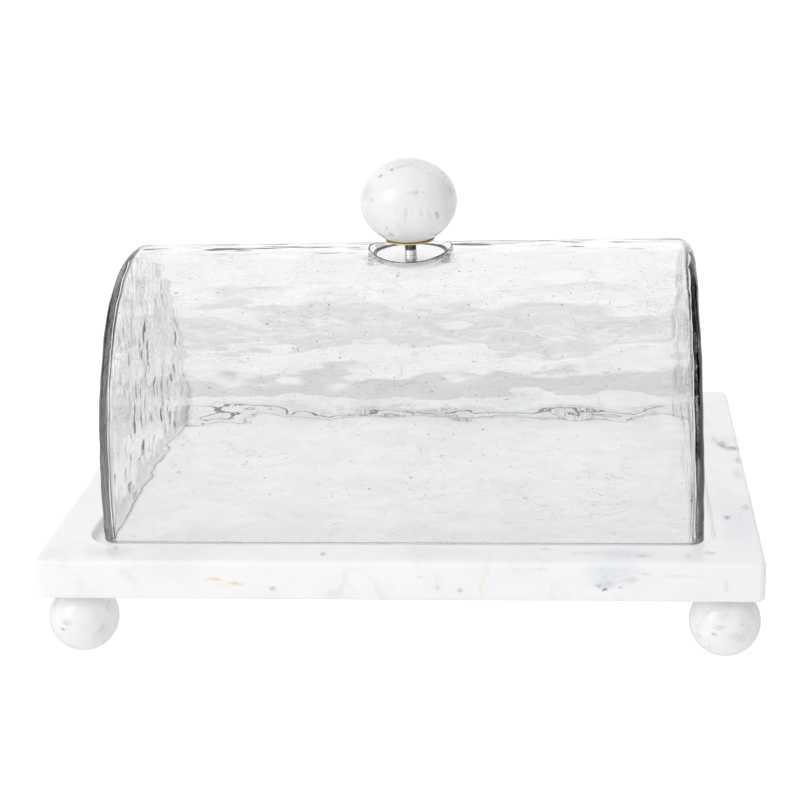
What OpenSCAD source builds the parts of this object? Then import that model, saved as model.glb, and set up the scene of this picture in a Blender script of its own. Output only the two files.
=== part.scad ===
// Cheese dome: marble tray on four ball feet, with a lift-off barrel-vaulted
// glass cover and a marble ball knob.
// Millimetres, +Z up. The origin is on the resting surface, under the middle
// of the tray. X is the long side of the tray, -Y is its front.

/* [Tray] */
// Length of the tray, along X
tray_l = 305; // [285:1:340]
// Width of the tray, along Y
tray_w = 203; // [195:1:230]
// Thickness of the tray
tray_t = 18; // [16:0.5:24]
// Radius of the softened edges of the tray
arris_r = 2; // [1:0.25:3]
// Margin between the recess and the long edges of the tray
recess_margin_y = 17.5; // [14:0.5:19]
// Margin between the recess and the short edges of the tray
recess_margin_x = 18.5; // [15:0.5:20]
// Depth of the recess that the cover stands in
recess_depth = 4; // [3:0.25:6]
// Corner radius of the recess
recess_r = 12; // [6:0.5:16]

/* [Feet] */
// Diameter of each ball foot
foot_d = 30; // [24:0.5:30]
// Diameter of the flats ground on the top and bottom of each ball
foot_flat_d = 7; // [5:0.5:9]
// Distance from the foot centre to the short edge of the tray
foot_inset_x = 15; // [15:0.5:17]
// Distance from the foot centre to the long edge of the tray
foot_inset_y = 15; // [15:0.5:17]
// Thickness of the spacer between ball and tray
ferrule_t = 0.8; // [0.5:0.1:2]
// Outer diameter of the spacer between ball and tray
ferrule_d = 6.8; // [6:0.1:8]

/* [Glass cover] */
// Gap between the foot of the cover and the wall of the recess, along X
dome_gap_x = 4.5; // [3:0.5:8]
// Half width of the cover at its foot, along Y
dome_half_w = 77; // [70:0.5:77.5]
// Height of the crown of the cover above the top of the tray
crown_h = 106.7; // [90:0.1:120]
// Squareness of the arch: 2 is an ellipse, and more gives fuller shoulders
arch_n = 2.1; // [2:0.05:2.4]
// Thickness of the glass
glass_t = 4.5; // [4:0.25:5.5]
// Rounding where the end walls meet the vault
edge_r = 7; // [6:0.5:14]
// Inward lean of the end walls, in degrees
end_draft = 0.9; // [0:0.1:2]

/* [Knob] */
// How far the knob and its hole sit to the right of the middle of the cover
knob_x = 2.2; // [-4:0.1:4]
// Largest diameter of the knob
knob_d = 43; // [38:0.5:50]
// Full height that the flattened ball would have
knob_h = 37.6; // [34:0.2:42]
// Diameter of the chrome disc
disc_d = 36.7; // [30:0.1:42]
// Diameter of the brass washer
washer_d = 22.3; // [21:0.1:24]
// Height of the neck between disc and washer
neck_h = 6.9; // [5:0.1:8]
// Diameter of the through screw
screw_d = 4; // [3.5:0.1:4]

/* [Hidden] */
$fn = 96;
e = 0.01;                                       // overshoot of the cutters

foot_rad = foot_d / 2;
foot_zc = sqrt(pow(foot_rad, 2) - pow(foot_flat_d / 2, 2));  // centre of a ball
z_under = 2 * foot_zc + ferrule_t;              // underside of the tray
z_top = z_under + tray_t;                       // top of the tray
z_floor = z_top - recess_depth;                 // floor of the recess
foot_x = tray_l / 2 - foot_inset_x;
foot_y = tray_w / 2 - foot_inset_y;
feet = [[-foot_x, -foot_y], [foot_x, -foot_y], [-foot_x, foot_y], [foot_x, foot_y]];
recess_l = tray_l - 2 * recess_margin_x;
recess_w = tray_w - 2 * recess_margin_y;

stud_d = 4;                                     // stud of a foot
stud_hole_d = 4.3;
stud_grip = 8.5;                                // stud length in ball and in tray
stud_hole_depth = 9;

dome_clear = 0.3;                               // cover foot above the recess floor
z_rim = z_floor + dome_clear;
z_crown = z_top + crown_h;
dome_half_l = recess_l / 2 - dome_gap_x;
outer_gasket_t = 0.4;
pad_d = 36;                                     // clear pad that plugs the opening from below
pad_edge = 3.3;                                 // its flat underside lies below the crown, inside
inner_washer_t = 1;
sleeve_d = 7;
disc_t = 0.5;                                   // metal of the chrome disc, upright
disc_floor_r = 15;                              // radius of the flat middle of the disc
disc_sink = 3.5;                                // the flat of the disc lies below the crown
disc_proud = 0.35;                              // the rim of the disc stands above the glass
washer_t = 0.7;

z_neck = z_crown - disc_sink;                   // top of the flat of the disc
z_disc = z_neck - disc_t;                       // its underside
z_pad = z_crown - glass_t - pad_edge;           // underside of the pad
z_washer = z_neck + neck_h;
z_knob = z_washer + washer_t;                   // flat of the knob
knob_a = knob_d / 2;
knob_c = knob_h / 2;
knob_flat_r = 9.9;
knob_zc = z_knob + knob_c * sqrt(1 - pow(knob_flat_r / knob_a, 2));
insert_d = 8;
insert_l = 14;
z_inner_washer = z_pad - inner_washer_t;
head_t = 2.8;
head_d = 8;
screw_top = z_knob + 12;

marble = [0.93, 0.93, 0.92];
steel = [0.55, 0.56, 0.58];
chrome = [0.80, 0.81, 0.83];
brass = [0.80, 0.63, 0.33];
clear = [0.86, 0.90, 0.90, 0.6];
glass = [0.80, 0.86, 0.88, 0.35];

// Points of one rounded corner: centre c, radius r, from angle a0 over 90 degrees.
function corner(c, r, a0, n) =
    [for (i = [0:n]) [c[0] + r * cos(a0 + 90 * i / n), c[1] + r * sin(a0 + 90 * i / n)]];

// Outline of a rectangle of size l by w with rounded corners, centred.
function round_rect(l, w, r, n) = concat(
    corner([l / 2 - r, w / 2 - r], r, 0, n),
    corner([-l / 2 + r, w / 2 - r], r, 90, n),
    corner([-l / 2 + r, -w / 2 + r], r, 180, n),
    corner([l / 2 - r, -w / 2 + r], r, 270, n));

// Signed power, for the arch.
function spow(v, p) = v < 0 ? -pow(-v, p) : pow(v, p);

// Outline of the arch in the YZ plane, drawn in by d all round, on legs that
// reach down to z_foot. The arch springs from the top of the tray.
function arch(d, z_foot, n) = concat(
    [[dome_half_w - d, z_foot]],
    [for (i = [0:n]) let (t = 180 * i / n)
        [(dome_half_w - d) * spow(cos(t), 2 / arch_n),
         z_top + (crown_h - d) * spow(sin(t), 2 / arch_n)]],
    [[-dome_half_w + d, z_foot]]);

// A thin slice of the arch, at x, leaning in by the draft of the end walls.
module arch_slice(x, d, z_foot, lean) {
    translate([x, 0, z_rim]) rotate([0, lean, 0]) translate([0, 0, -z_rim])
        rotate([90, 0, 90]) linear_extrude(0.02, center = true)
            polygon(arch(d, z_foot, 44));
}

// The closed barrel shape whose skin is d inside the outer skin of the cover.
module vault(d, r, z_foot) {
    hull()
        for (s = [-1, 1], i = [0:5]) {
            a = 90 * i / 5;
            arch_slice(s * (dome_half_l - d - r + r * sin(a)),
                       d + r * (1 - cos(a)), z_foot, -s * end_draft);
        }
}

module ring(d, hole, t, z) {
    translate([0, 0, z]) difference() {
        cylinder(d = d, h = t);
        translate([0, 0, -e]) cylinder(d = hole, h = t + 2 * e);
    }
}

module marble_base() {
    color(marble) difference() {
        intersection() {
            translate([0, 0, z_under - 5]) linear_extrude(tray_t + 10)
                polygon(round_rect(tray_l, tray_w, arris_r + 0.5, 4));
            translate([0, 0, z_under + tray_t / 2]) rotate([90, 0, 0])
                linear_extrude(tray_w + 10, center = true)
                    polygon(round_rect(tray_l, tray_t, arris_r, 4));
            translate([0, 0, z_under + tray_t / 2]) rotate([90, 0, 90])
                linear_extrude(tray_l + 10, center = true)
                    polygon(round_rect(tray_w, tray_t, arris_r, 4));
        }
        translate([0, 0, z_floor]) linear_extrude(recess_depth + 5)
            polygon(round_rect(recess_l, recess_w, recess_r, 10));
        for (p = feet)
            translate([p[0], p[1], z_under - 5])
                cylinder(d = stud_hole_d, h = stud_hole_depth + 5);
    }
}

module foot(p) {
    color(marble) translate([p[0], p[1], 0]) difference() {
        intersection() {
            translate([0, 0, foot_zc]) sphere(r = foot_rad);
            cylinder(r = foot_rad + 1, h = 2 * foot_zc);
        }
        translate([0, 0, 2 * foot_zc - stud_hole_depth])
            cylinder(d = stud_hole_d, h = stud_hole_depth + 5);
    }
}

module foot_front_left() { foot(feet[0]); }
module foot_front_right() { foot(feet[1]); }
module foot_back_left() { foot(feet[2]); }
module foot_back_right() { foot(feet[3]); }

module foot_ferrules() {
    color(steel) for (p = feet)
        translate([p[0], p[1], 0]) ring(ferrule_d, stud_hole_d, ferrule_t, 2 * foot_zc);
}

// Four studs with chamfered ends.
module foot_studs() {
    l = 2 * stud_grip + ferrule_t;
    color(steel) for (p = feet)
        translate([p[0], p[1], 2 * foot_zc - stud_grip]) rotate_extrude()
            polygon([[0, 0], [stud_d / 2 - 0.5, 0], [stud_d / 2, 0.5],
                     [stud_d / 2, l - 0.5], [stud_d / 2 - 0.5, l], [0, l]]);
}

// The shape of the opening and of the disc in it: its flat of radius r is at
// height z. Its flanks rise steeply along X and gently along Y, so that its
// rim is round on the falling sides of the vault as well as on the ridge.
module stamp(r, z) {
    rise = 6;
    hull() {
        translate([knob_x, 0, z]) cylinder(r = r, h = 0.01);
        translate([knob_x, 0, z + rise]) scale([1 + 0.86 * rise / r, 1 + 2.5 * rise / r, 1])
            cylinder(r = r, h = 0.01);
    }
}

// Barrel-vaulted shell, open below, with a flared round opening in its crown.
module glass_dome() {
    color(glass) difference() {
        vault(0, edge_r, z_rim);
        vault(glass_t, edge_r - glass_t, z_rim - 5);
        stamp(disc_floor_r, z_disc - outer_gasket_t);
        translate([knob_x, 0, z_pad - 5]) cylinder(r = disc_floor_r + 0.3, h = 12);
    }
}

// Everything under and in the knob stands over the hole.
module over_hole() { translate([knob_x, 0, 0]) children(); }

// Thin clear seal between the turned-up rim of the disc and the flared glass.
module outer_gasket() {
    color(clear) translate([-knob_x, 0, 0]) difference() {
        intersection() {
            stamp(disc_floor_r, z_disc - outer_gasket_t + 0.03);
            translate([knob_x, 0, z_pad]) cylinder(d = disc_d - 0.6, h = 20);
            rotate([90, 0, 90]) linear_extrude(80, center = true)
                polygon(arch(0, z_top, 44));
        }
        stamp(disc_floor_r, z_disc - 0.03);
        translate([knob_x, 0, z_pad]) cylinder(r = disc_floor_r + 0.5, h = 20);
    }
}

// Spacer tube round the screw, between the disc and the inner washer.
module screw_sleeve() {
    color(clear) ring(sleeve_d, screw_d + 0.4, z_disc - z_pad - 0.04, z_pad + 0.02);
}

// Clear moulded pad: its underside is flat, its top follows the vault inside,
// and its middle fills the opening up to the disc.
module inner_gasket() {
    color(clear) difference() {
        union() {
            intersection() {
                translate([0, 0, z_pad]) cylinder(d = pad_d, h = 10);
                rotate([90, 0, 90]) linear_extrude(80, center = true)
                    polygon(arch(glass_t + 0.03, z_top, 44));
            }
            translate([0, 0, z_pad]) cylinder(r = disc_floor_r - 0.2, h = z_disc - z_pad - 0.03);
        }
        translate([0, 0, z_pad - 1]) cylinder(d = sleeve_d + 0.2, h = 20);
    }
}

module inner_washer() {
    color(steel) ring(14, screw_d + 0.4, inner_washer_t, z_inner_washer);
}

// Through screw: low domed head inside the cover, with a cross recess.
module knob_screw() {
    color(steel) translate([0, 0, z_inner_washer]) difference() {
        union() {
            rotate_extrude()
                polygon(concat(
                    [[0, -head_t]],
                    [for (i = [0:8]) [head_d / 2 * sin(10 + 10 * i),
                                      -head_t * cos(10 + 10 * i) * 0.8 - 0.2 * head_t]],
                    [[head_d / 2, 0], [0, 0]]));
            translate([0, 0, -e]) cylinder(d = screw_d, h = screw_top - z_inner_washer - 0.5);
            translate([0, 0, screw_top - z_inner_washer - 0.5 - 2 * e])
                cylinder(d1 = screw_d, d2 = screw_d - 1, h = 0.5);
        }
        for (a = [0, 90]) rotate([0, 0, a])
            translate([-2, -0.45, -head_t - 1]) cube([4, 0.9, 2.4]);
    }
}

// Chrome disc: flat in the middle, and turned up round it to a rim that follows
// the vault, high on the ridge and low on the falling sides.
module knob_disc() {
    color(chrome) translate([-knob_x, 0, 0]) difference() {
        intersection() {
            stamp(disc_floor_r, z_disc);
            translate([knob_x, 0, z_neck - 5]) cylinder(d = disc_d, h = 20);
            rotate([90, 0, 90]) linear_extrude(80, center = true)
                polygon(arch(-disc_proud, z_top, 44));
        }
        stamp(disc_floor_r, z_neck);
        translate([knob_x, 0, z_neck - 5]) cylinder(d = screw_d + 0.4, h = 10);
    }
}

// Neck with a collar at its base, chamfered at its ends.
module neck_sleeve() {
    r0 = screw_d / 2 + 0.2;
    color(steel) translate([0, 0, z_neck]) rotate_extrude()
        polygon([[r0, 0], [2.6, 0], [2.7, 0.1], [2.7, 2.3], [2.6, 2.4], [2.5, 2.4],
                 [2.5, neck_h - 0.1], [2.4, neck_h], [r0, neck_h]]);
}

module brass_washer() {
    q = 0.3;
    r = washer_d / 2;
    color(brass) translate([0, 0, z_washer]) rotate_extrude()
        polygon(concat(
            [[screw_d / 2 + 0.2, 0]],
            [for (i = [0:4]) [r - q + q * sin(22.5 * i), q - q * cos(22.5 * i)]],
            [for (i = [0:4]) [r - q + q * cos(22.5 * i), washer_t - q + q * sin(22.5 * i)]],
            [[screw_d / 2 + 0.2, washer_t]]));
}

// Knurled brass insert, glued in the ball.
module knob_insert() {
    color(brass) translate([0, 0, z_knob]) difference() {
        union() {
            cylinder(d = insert_d - 0.8, h = insert_l);
            for (z = [1, 5.5, 10]) translate([0, 0, z]) cylinder(d = insert_d - 0.2, h = 3);
        }
        translate([0, 0, -e]) cylinder(d = screw_d + 0.1, h = 12.5);
    }
}

// Flattened ball with a ground flat and a blind hole for the insert.
module knob() {
    a0 = asin(knob_flat_r / knob_a);
    color(marble) translate([0, 0, knob_zc]) difference() {
        rotate_extrude()
            polygon(concat(
                [[0, -knob_c * cos(a0)]],
                [for (i = [0:48]) let (t = a0 + (180 - a0) * i / 48)
                    [i == 48 ? 0 : knob_a * sin(t), -knob_c * cos(t)]]));
        translate([0, 0, z_knob - knob_zc - 5]) cylinder(d = insert_d, h = insert_l + 5.5);
    }
}

marble_base();
foot_front_left();
foot_front_right();
foot_back_left();
foot_back_right();
foot_ferrules();
foot_studs();
glass_dome();
over_hole() outer_gasket();
over_hole() screw_sleeve();
over_hole() inner_gasket();
over_hole() inner_washer();
over_hole() knob_screw();
over_hole() knob_disc();
over_hole() neck_sleeve();
over_hole() brass_washer();
over_hole() knob_insert();
over_hole() knob();
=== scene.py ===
import math

import bmesh
import bpy
import numpy as np
from mathutils import Matrix, Vector


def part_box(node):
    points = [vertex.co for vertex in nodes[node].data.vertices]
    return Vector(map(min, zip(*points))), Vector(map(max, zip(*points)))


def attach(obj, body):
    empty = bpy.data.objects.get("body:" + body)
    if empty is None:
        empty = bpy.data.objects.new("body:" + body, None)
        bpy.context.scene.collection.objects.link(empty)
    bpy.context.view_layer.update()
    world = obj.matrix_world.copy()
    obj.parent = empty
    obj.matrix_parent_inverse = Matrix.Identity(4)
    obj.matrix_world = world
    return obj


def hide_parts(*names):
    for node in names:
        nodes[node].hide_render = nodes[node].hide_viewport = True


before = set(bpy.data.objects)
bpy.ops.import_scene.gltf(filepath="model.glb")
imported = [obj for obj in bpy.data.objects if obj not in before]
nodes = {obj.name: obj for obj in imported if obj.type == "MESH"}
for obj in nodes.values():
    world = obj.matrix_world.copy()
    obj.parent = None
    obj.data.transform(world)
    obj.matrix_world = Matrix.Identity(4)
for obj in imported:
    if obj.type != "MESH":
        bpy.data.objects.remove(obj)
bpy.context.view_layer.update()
scene = bpy.context.scene
MM = 0.001


# ---------------------------------------------------------------- helpers

def lattice(points, seed):
    """Gradient noise at an (n, 3) array of points, about -0.7 to 0.7, the same every run."""
    rs = np.random.RandomState(seed)
    perm = rs.permutation(256)
    perm = np.concatenate([perm, perm, perm])
    grad = rs.normal(size=(256, 3))
    grad /= np.linalg.norm(grad, axis=1, keepdims=True)
    cell = np.floor(points).astype(int)
    f = points - cell
    u = f * f * f * (f * (f * 6 - 15) + 10)
    c = cell & 255
    total = np.zeros(len(points))
    for dx in (0, 1):
        for dy in (0, 1):
            for dz in (0, 1):
                a = perm[(c[:, 0] + dx) & 255]
                a = perm[(a + c[:, 1] + dy) & 255]
                a = perm[(a + c[:, 2] + dz) & 255]
                g = grad[a]
                dot = (g * (f - np.array([dx, dy, dz]))).sum(1)
                w = (
                    (u[:, 0] if dx else 1 - u[:, 0])
                    * (u[:, 1] if dy else 1 - u[:, 1])
                    * (u[:, 2] if dz else 1 - u[:, 2])
                )
                total += w * dot
    return total


def smooth(a, b, x):
    t = np.clip((x - a) / (b - a), 0, 1)
    return t * t * (3 - 2 * t)


def mesh_object(name, verts, faces, material, body, replaced, angle=None):
    """A smooth-shaded mesh piece with its normals outward, riding on a body."""
    mesh = bpy.data.meshes.new(name)
    mesh.from_pydata([tuple(v) for v in verts], [], [tuple(f) for f in faces])
    mesh.validate()
    bm = bmesh.new()
    bm.from_mesh(mesh)
    bmesh.ops.remove_doubles(bm, verts=bm.verts, dist=1e-7)
    bmesh.ops.recalc_face_normals(bm, faces=bm.faces)
    bm.to_mesh(mesh)
    bm.free()
    for p in mesh.polygons:
        p.use_smooth = True
    if angle is not None:
        mesh.set_sharp_from_angle(angle=math.radians(angle))
    mesh.materials.append(material)
    obj = bpy.data.objects.new(name, mesh)
    scene.collection.objects.link(obj)
    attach(obj, body)
    if replaced:
        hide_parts(*replaced)
    return obj


def lathe(profile, centre, segments=96):
    """A turned solid round a vertical axis. The profile is a list of (radius, height): it is
    closed round on itself, or runs from axis to axis. Points on the axis become poles."""
    verts, faces, rows = [], [], []
    open_ends = profile[0][0] < 1e-9 and profile[-1][0] < 1e-9
    for r, z in profile:
        if r < 1e-9:
            rows.append([len(verts)])
            verts.append((centre[0], centre[1], z))
        else:
            rows.append(list(range(len(verts), len(verts) + segments)))
            for k in range(segments):
                a = 2 * math.pi * k / segments
                verts.append((centre[0] + r * math.cos(a), centre[1] + r * math.sin(a), z))
    pairs = list(zip(rows, rows[1:]))
    if not open_ends:
        pairs.append((rows[-1], rows[0]))
    for low, high in pairs:
        for k in range(segments):
            m = (k + 1) % segments
            if len(low) == 1 and len(high) == 1:
                continue
            if len(low) == 1:
                faces.append((low[0], high[m], high[k]))
            elif len(high) == 1:
                faces.append((low[k], low[m], high[0]))
            else:
                faces.append((low[k], low[m], high[m], high[k]))
    return verts, faces


def arc(cx, cz, r, a0, a1, n):
    """Points of an arc in the (radius, height) plane, degrees, both ends included."""
    return [
        (
            cx + r * math.cos(math.radians(a0 + (a1 - a0) * i / n)),
            cz + r * math.sin(math.radians(a0 + (a1 - a0) * i / n)),
        )
        for i in range(n + 1)
    ]


def subtract(obj, cutters):
    """obj less the cutter objects, which are removed."""
    for c in cutters:
        m = obj.modifiers.new("cut", "BOOLEAN")
        m.operation = "DIFFERENCE"
        m.solver = "EXACT"
        m.object = c
    bpy.context.view_layer.update()
    done = bpy.data.meshes.new_from_object(
        obj.evaluated_get(bpy.context.evaluated_depsgraph_get())
    )
    obj.modifiers.clear()
    old = obj.data
    name = old.name
    obj.data = done
    bpy.data.meshes.remove(old)
    done.name = name
    for c in cutters:
        m = c.data
        bpy.data.objects.remove(c)
        bpy.data.meshes.remove(m)


def cutter(x, y, z0, z1, r, segments):
    verts, faces = lathe([(0, z0), (r, z0), (r, z1), (0, z1)], (x, y), segments)
    mesh = bpy.data.meshes.new("cutter")
    mesh.from_pydata(verts, [], faces)
    bm = bmesh.new()
    bm.from_mesh(mesh)
    bmesh.ops.recalc_face_normals(bm, faces=bm.faces)
    bm.to_mesh(mesh)
    bm.free()
    obj = bpy.data.objects.new("cutter", mesh)
    scene.collection.objects.link(obj)
    return obj


# ---------------------------------------------------------------- materials

class Net:
    """Short calls for building one node material."""

    def __init__(self, name, tree=None):
        if tree is None:
            self.mat = bpy.data.materials.new(name)
            self.mat.use_nodes = True
            tree = self.mat.node_tree
        self.t = tree
        self.t.nodes.clear()

    def node(self, kind, ins=(), **props):
        n = self.t.nodes.new(kind)
        for k, v in props.items():
            setattr(n, k, v)
        for k, v in dict(ins).items():
            self.put(n.inputs[k], v)
        return n

    def put(self, socket, v):
        if isinstance(v, bpy.types.NodeSocket):
            self.t.links.new(v, socket)
        else:
            socket.default_value = v

    def math(self, op, a, b=0.0, c=0.0, clamp=False):
        n = self.node("ShaderNodeMath", operation=op, use_clamp=clamp)
        for i, v in enumerate((a, b, c)):
            self.put(n.inputs[i], v)
        return n.outputs[0]

    def vec(self, op, a, b=(0, 0, 0)):
        n = self.node("ShaderNodeVectorMath", operation=op)
        self.put(n.inputs[0], a)
        if op == "SCALE":
            self.put(n.inputs["Scale"], b)
        else:
            self.put(n.inputs[1], b)
        return n.outputs["Value"] if op in ("LENGTH", "DOT_PRODUCT") else n.outputs[0]

    def noise(self, vector, scale, detail=2.0, rough=0.5, distortion=0.0, colour=False):
        n = self.node(
            "ShaderNodeTexNoise",
            {"Vector": vector, "Scale": scale, "Detail": detail, "Roughness": rough, "Distortion": distortion},
        )
        return n.outputs["Color" if colour else "Fac"]

    def step(self, v, a, b, lo=0.0, hi=1.0):
        n = self.node("ShaderNodeMapRange", interpolation_type="SMOOTHSTEP")
        for k, x in (("Value", v), ("From Min", a), ("From Max", b), ("To Min", lo), ("To Max", hi)):
            self.put(n.inputs[k], x)
        return n.outputs[0]

    def line(self, v, a, b, lo=0.0, hi=1.0):
        n = self.node("ShaderNodeMapRange", clamp=True)
        for k, x in (("Value", v), ("From Min", a), ("From Max", b), ("To Min", lo), ("To Max", hi)):
            self.put(n.inputs[k], x)
        return n.outputs[0]

    def mix(self, f, a, b):
        n = self.node("ShaderNodeMix", data_type="RGBA")
        self.put(n.inputs[0], f)
        self.put(n.inputs[6], a)
        self.put(n.inputs[7], b)
        return n.outputs[2]

    def bump(self, height, strength, distance):
        return self.node(
            "ShaderNodeBump", {"Strength": strength, "Distance": distance, "Height": height}
        ).outputs[0]

    def finish(self, shader, volume=None):
        out = self.node("ShaderNodeOutputMaterial")
        self.t.links.new(shader, out.inputs["Surface"])
        if volume is not None:
            self.t.links.new(volume, out.inputs["Volume"])
        return self.mat


def rgb(r, g, b):
    return (r, g, b, 1.0)


def marble(name, seed, base, cloud, vein, spots=(), cloud_scale=9.0, vein_scale=7.0,
           vein_share=0.4, vein_width=0.02, rough=(0.16, 0.26), specular=0.5, marks=()):
    """White marble. spots are ragged painted patches, which the feet use as painted reflections: (centre, radii,
    colour, strength, raggedness) in the row frame.
    marks are small inclusions, (centre in mm, radii in mm, colour, strength)."""
    m = Net(name)
    co = m.node("ShaderNodeTexCoord").outputs["Object"]
    co = m.vec("ADD", co, (seed * 0.731, seed * 1.117, seed * 0.377)) if seed else co
    raw = m.node("ShaderNodeTexCoord").outputs["Object"]
    wob = m.vec("SUBTRACT", m.noise(co, 16, 3, 0.55, colour=True), (0.5, 0.5, 0.5))
    warped = m.vec("ADD", co, m.vec("SCALE", wob, 0.05))
    # soft clouds
    c1 = m.step(m.noise(warped, cloud_scale, 5, 0.6), 0.42, 0.72)
    c2 = m.step(m.noise(warped, cloud_scale * 3.7, 4, 0.6), 0.45, 0.75)
    fine = m.noise(co, 420, 3, 0.6)
    colour = m.mix(m.math("MULTIPLY", c1, 0.75), base, cloud)
    colour = m.mix(m.math("MULTIPLY", m.math("MULTIPLY", c2, c1), 0.55), colour, tuple(x * 0.94 for x in cloud[:3]) + (1,))
    # thin broken veins: the zero line of a warped noise, cut up by another
    for k, (scale, width, share) in enumerate(
        ((vein_scale, vein_width, vein_share), (vein_scale * 2.6, vein_width * 1.4, vein_share * 0.6))
    ):
        shift = m.vec("ADD", warped, (3.1 * k + 0.4, 1.7 * k, 2.3))
        n = m.noise(shift, scale, 4, 0.55, 0.6)
        ridge = m.math("ABSOLUTE", m.math("SUBTRACT", n, 0.5))
        thin = m.step(ridge, 0.0, width, 1.0, 0.0)
        wide = m.step(ridge, 0.0, width * 5, 0.35, 0.0)
        broken = m.step(m.noise(shift, scale * 1.9, 3, 0.6), 0.5, 0.68)
        amount = m.math("MULTIPLY", m.math("MULTIPLY", m.math("MAXIMUM", thin, wide), broken), share)
        colour = m.mix(amount, colour, vein)
    # crystal sparkle in the tone
    colour = m.mix(m.line(fine, 0.35, 0.7, 0.0, 0.05), colour, rgb(1, 1, 1))
    # spots: ragged painted patches, used on the feet as painted reflections
    for centre, radii, tint, strength, ragged in spots:
        d = m.vec("SUBTRACT", raw, centre)
        wobble = m.vec("SCALE", m.vec("SUBTRACT", m.noise(raw, 0.9 / max(radii), 4, 0.65, colour=True), (0.5, 0.5, 0.5)), ragged * max(radii) * 2.4)
        d = m.vec("DIVIDE", m.vec("ADD", d, wobble), radii)
        near = m.step(m.vec("LENGTH", d), 0.25, 1.15, 1.0, 0.0)
        grain = m.step(m.noise(raw, 2.6 / max(radii), 4, 0.7), 0.32, 0.62)
        colour = m.mix(m.math("MULTIPLY", m.math("MULTIPLY", near, grain), strength), colour, tint)
    if marks:
        shake = m.vec("SUBTRACT", m.noise(raw, 330, 3, 0.6, colour=True), (0.5, 0.5, 0.5))
        sway = m.vec("SUBTRACT", m.noise(raw, 90, 2, 0.5, colour=True), (0.5, 0.5, 0.5))
        bent = m.vec("ADD", raw, m.vec("ADD", m.vec("SCALE", shake, 0.0026), m.vec("SCALE", sway, 0.0050)))
        grain = m.step(m.noise(raw, 700, 3, 0.7), 0.34, 0.60, 0.45, 1.0)
        for centre, radii, tint, strength in marks:
            d = m.vec("SUBTRACT", bent, tuple(c * MM for c in centre))
            near = m.step(m.vec("LENGTH", m.vec("DIVIDE", d, tuple(q * MM for q in radii))), 0.2, 1.2, 1.0, 0.0)
            colour = m.mix(m.math("MULTIPLY", m.math("MULTIPLY", near, grain), strength), colour, tint)
    r = m.line(m.noise(warped, 30, 4, 0.6), 0.3, 0.7, rough[0], rough[1])
    height = m.math("ADD", m.math("MULTIPLY", fine, 0.4), m.noise(co, 60, 3, 0.5))
    bsdf = m.node(
        "ShaderNodeBsdfPrincipled",
        {"Base Color": colour, "Roughness": r, "Normal": m.bump(height, 0.12, 0.0004), "IOR": 1.5, "Specular IOR Level": specular},
    )
    return m.finish(bsdf.outputs[0])


def metal(name, colour, tone, rough, scale=900.0, stretch=(1, 1, 14), bump=0.05):
    """Turned or plated metal: fine streaks in tone and gloss, and a faint haze of handling."""
    m = Net(name)
    co = m.node("ShaderNodeTexCoord").outputs["Object"]
    streak = m.noise(m.vec("MULTIPLY", co, stretch), scale, 4, 0.6)
    haze = m.noise(co, 130, 4, 0.6)
    c = m.mix(m.step(m.math("ADD", m.math("MULTIPLY", streak, 0.5), m.math("MULTIPLY", haze, 0.5)), 0.35, 0.65), colour, tone)
    r = m.line(m.math("ADD", m.math("MULTIPLY", streak, 0.6), m.math("MULTIPLY", haze, 0.4)), 0.35, 0.65, rough[0], rough[1])
    bsdf = m.node(
        "ShaderNodeBsdfPrincipled",
        {"Base Color": c, "Metallic": 1.0, "Roughness": r, "Normal": m.bump(streak, bump, 0.0001)},
    )
    return m.finish(bsdf.outputs[0])


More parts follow.
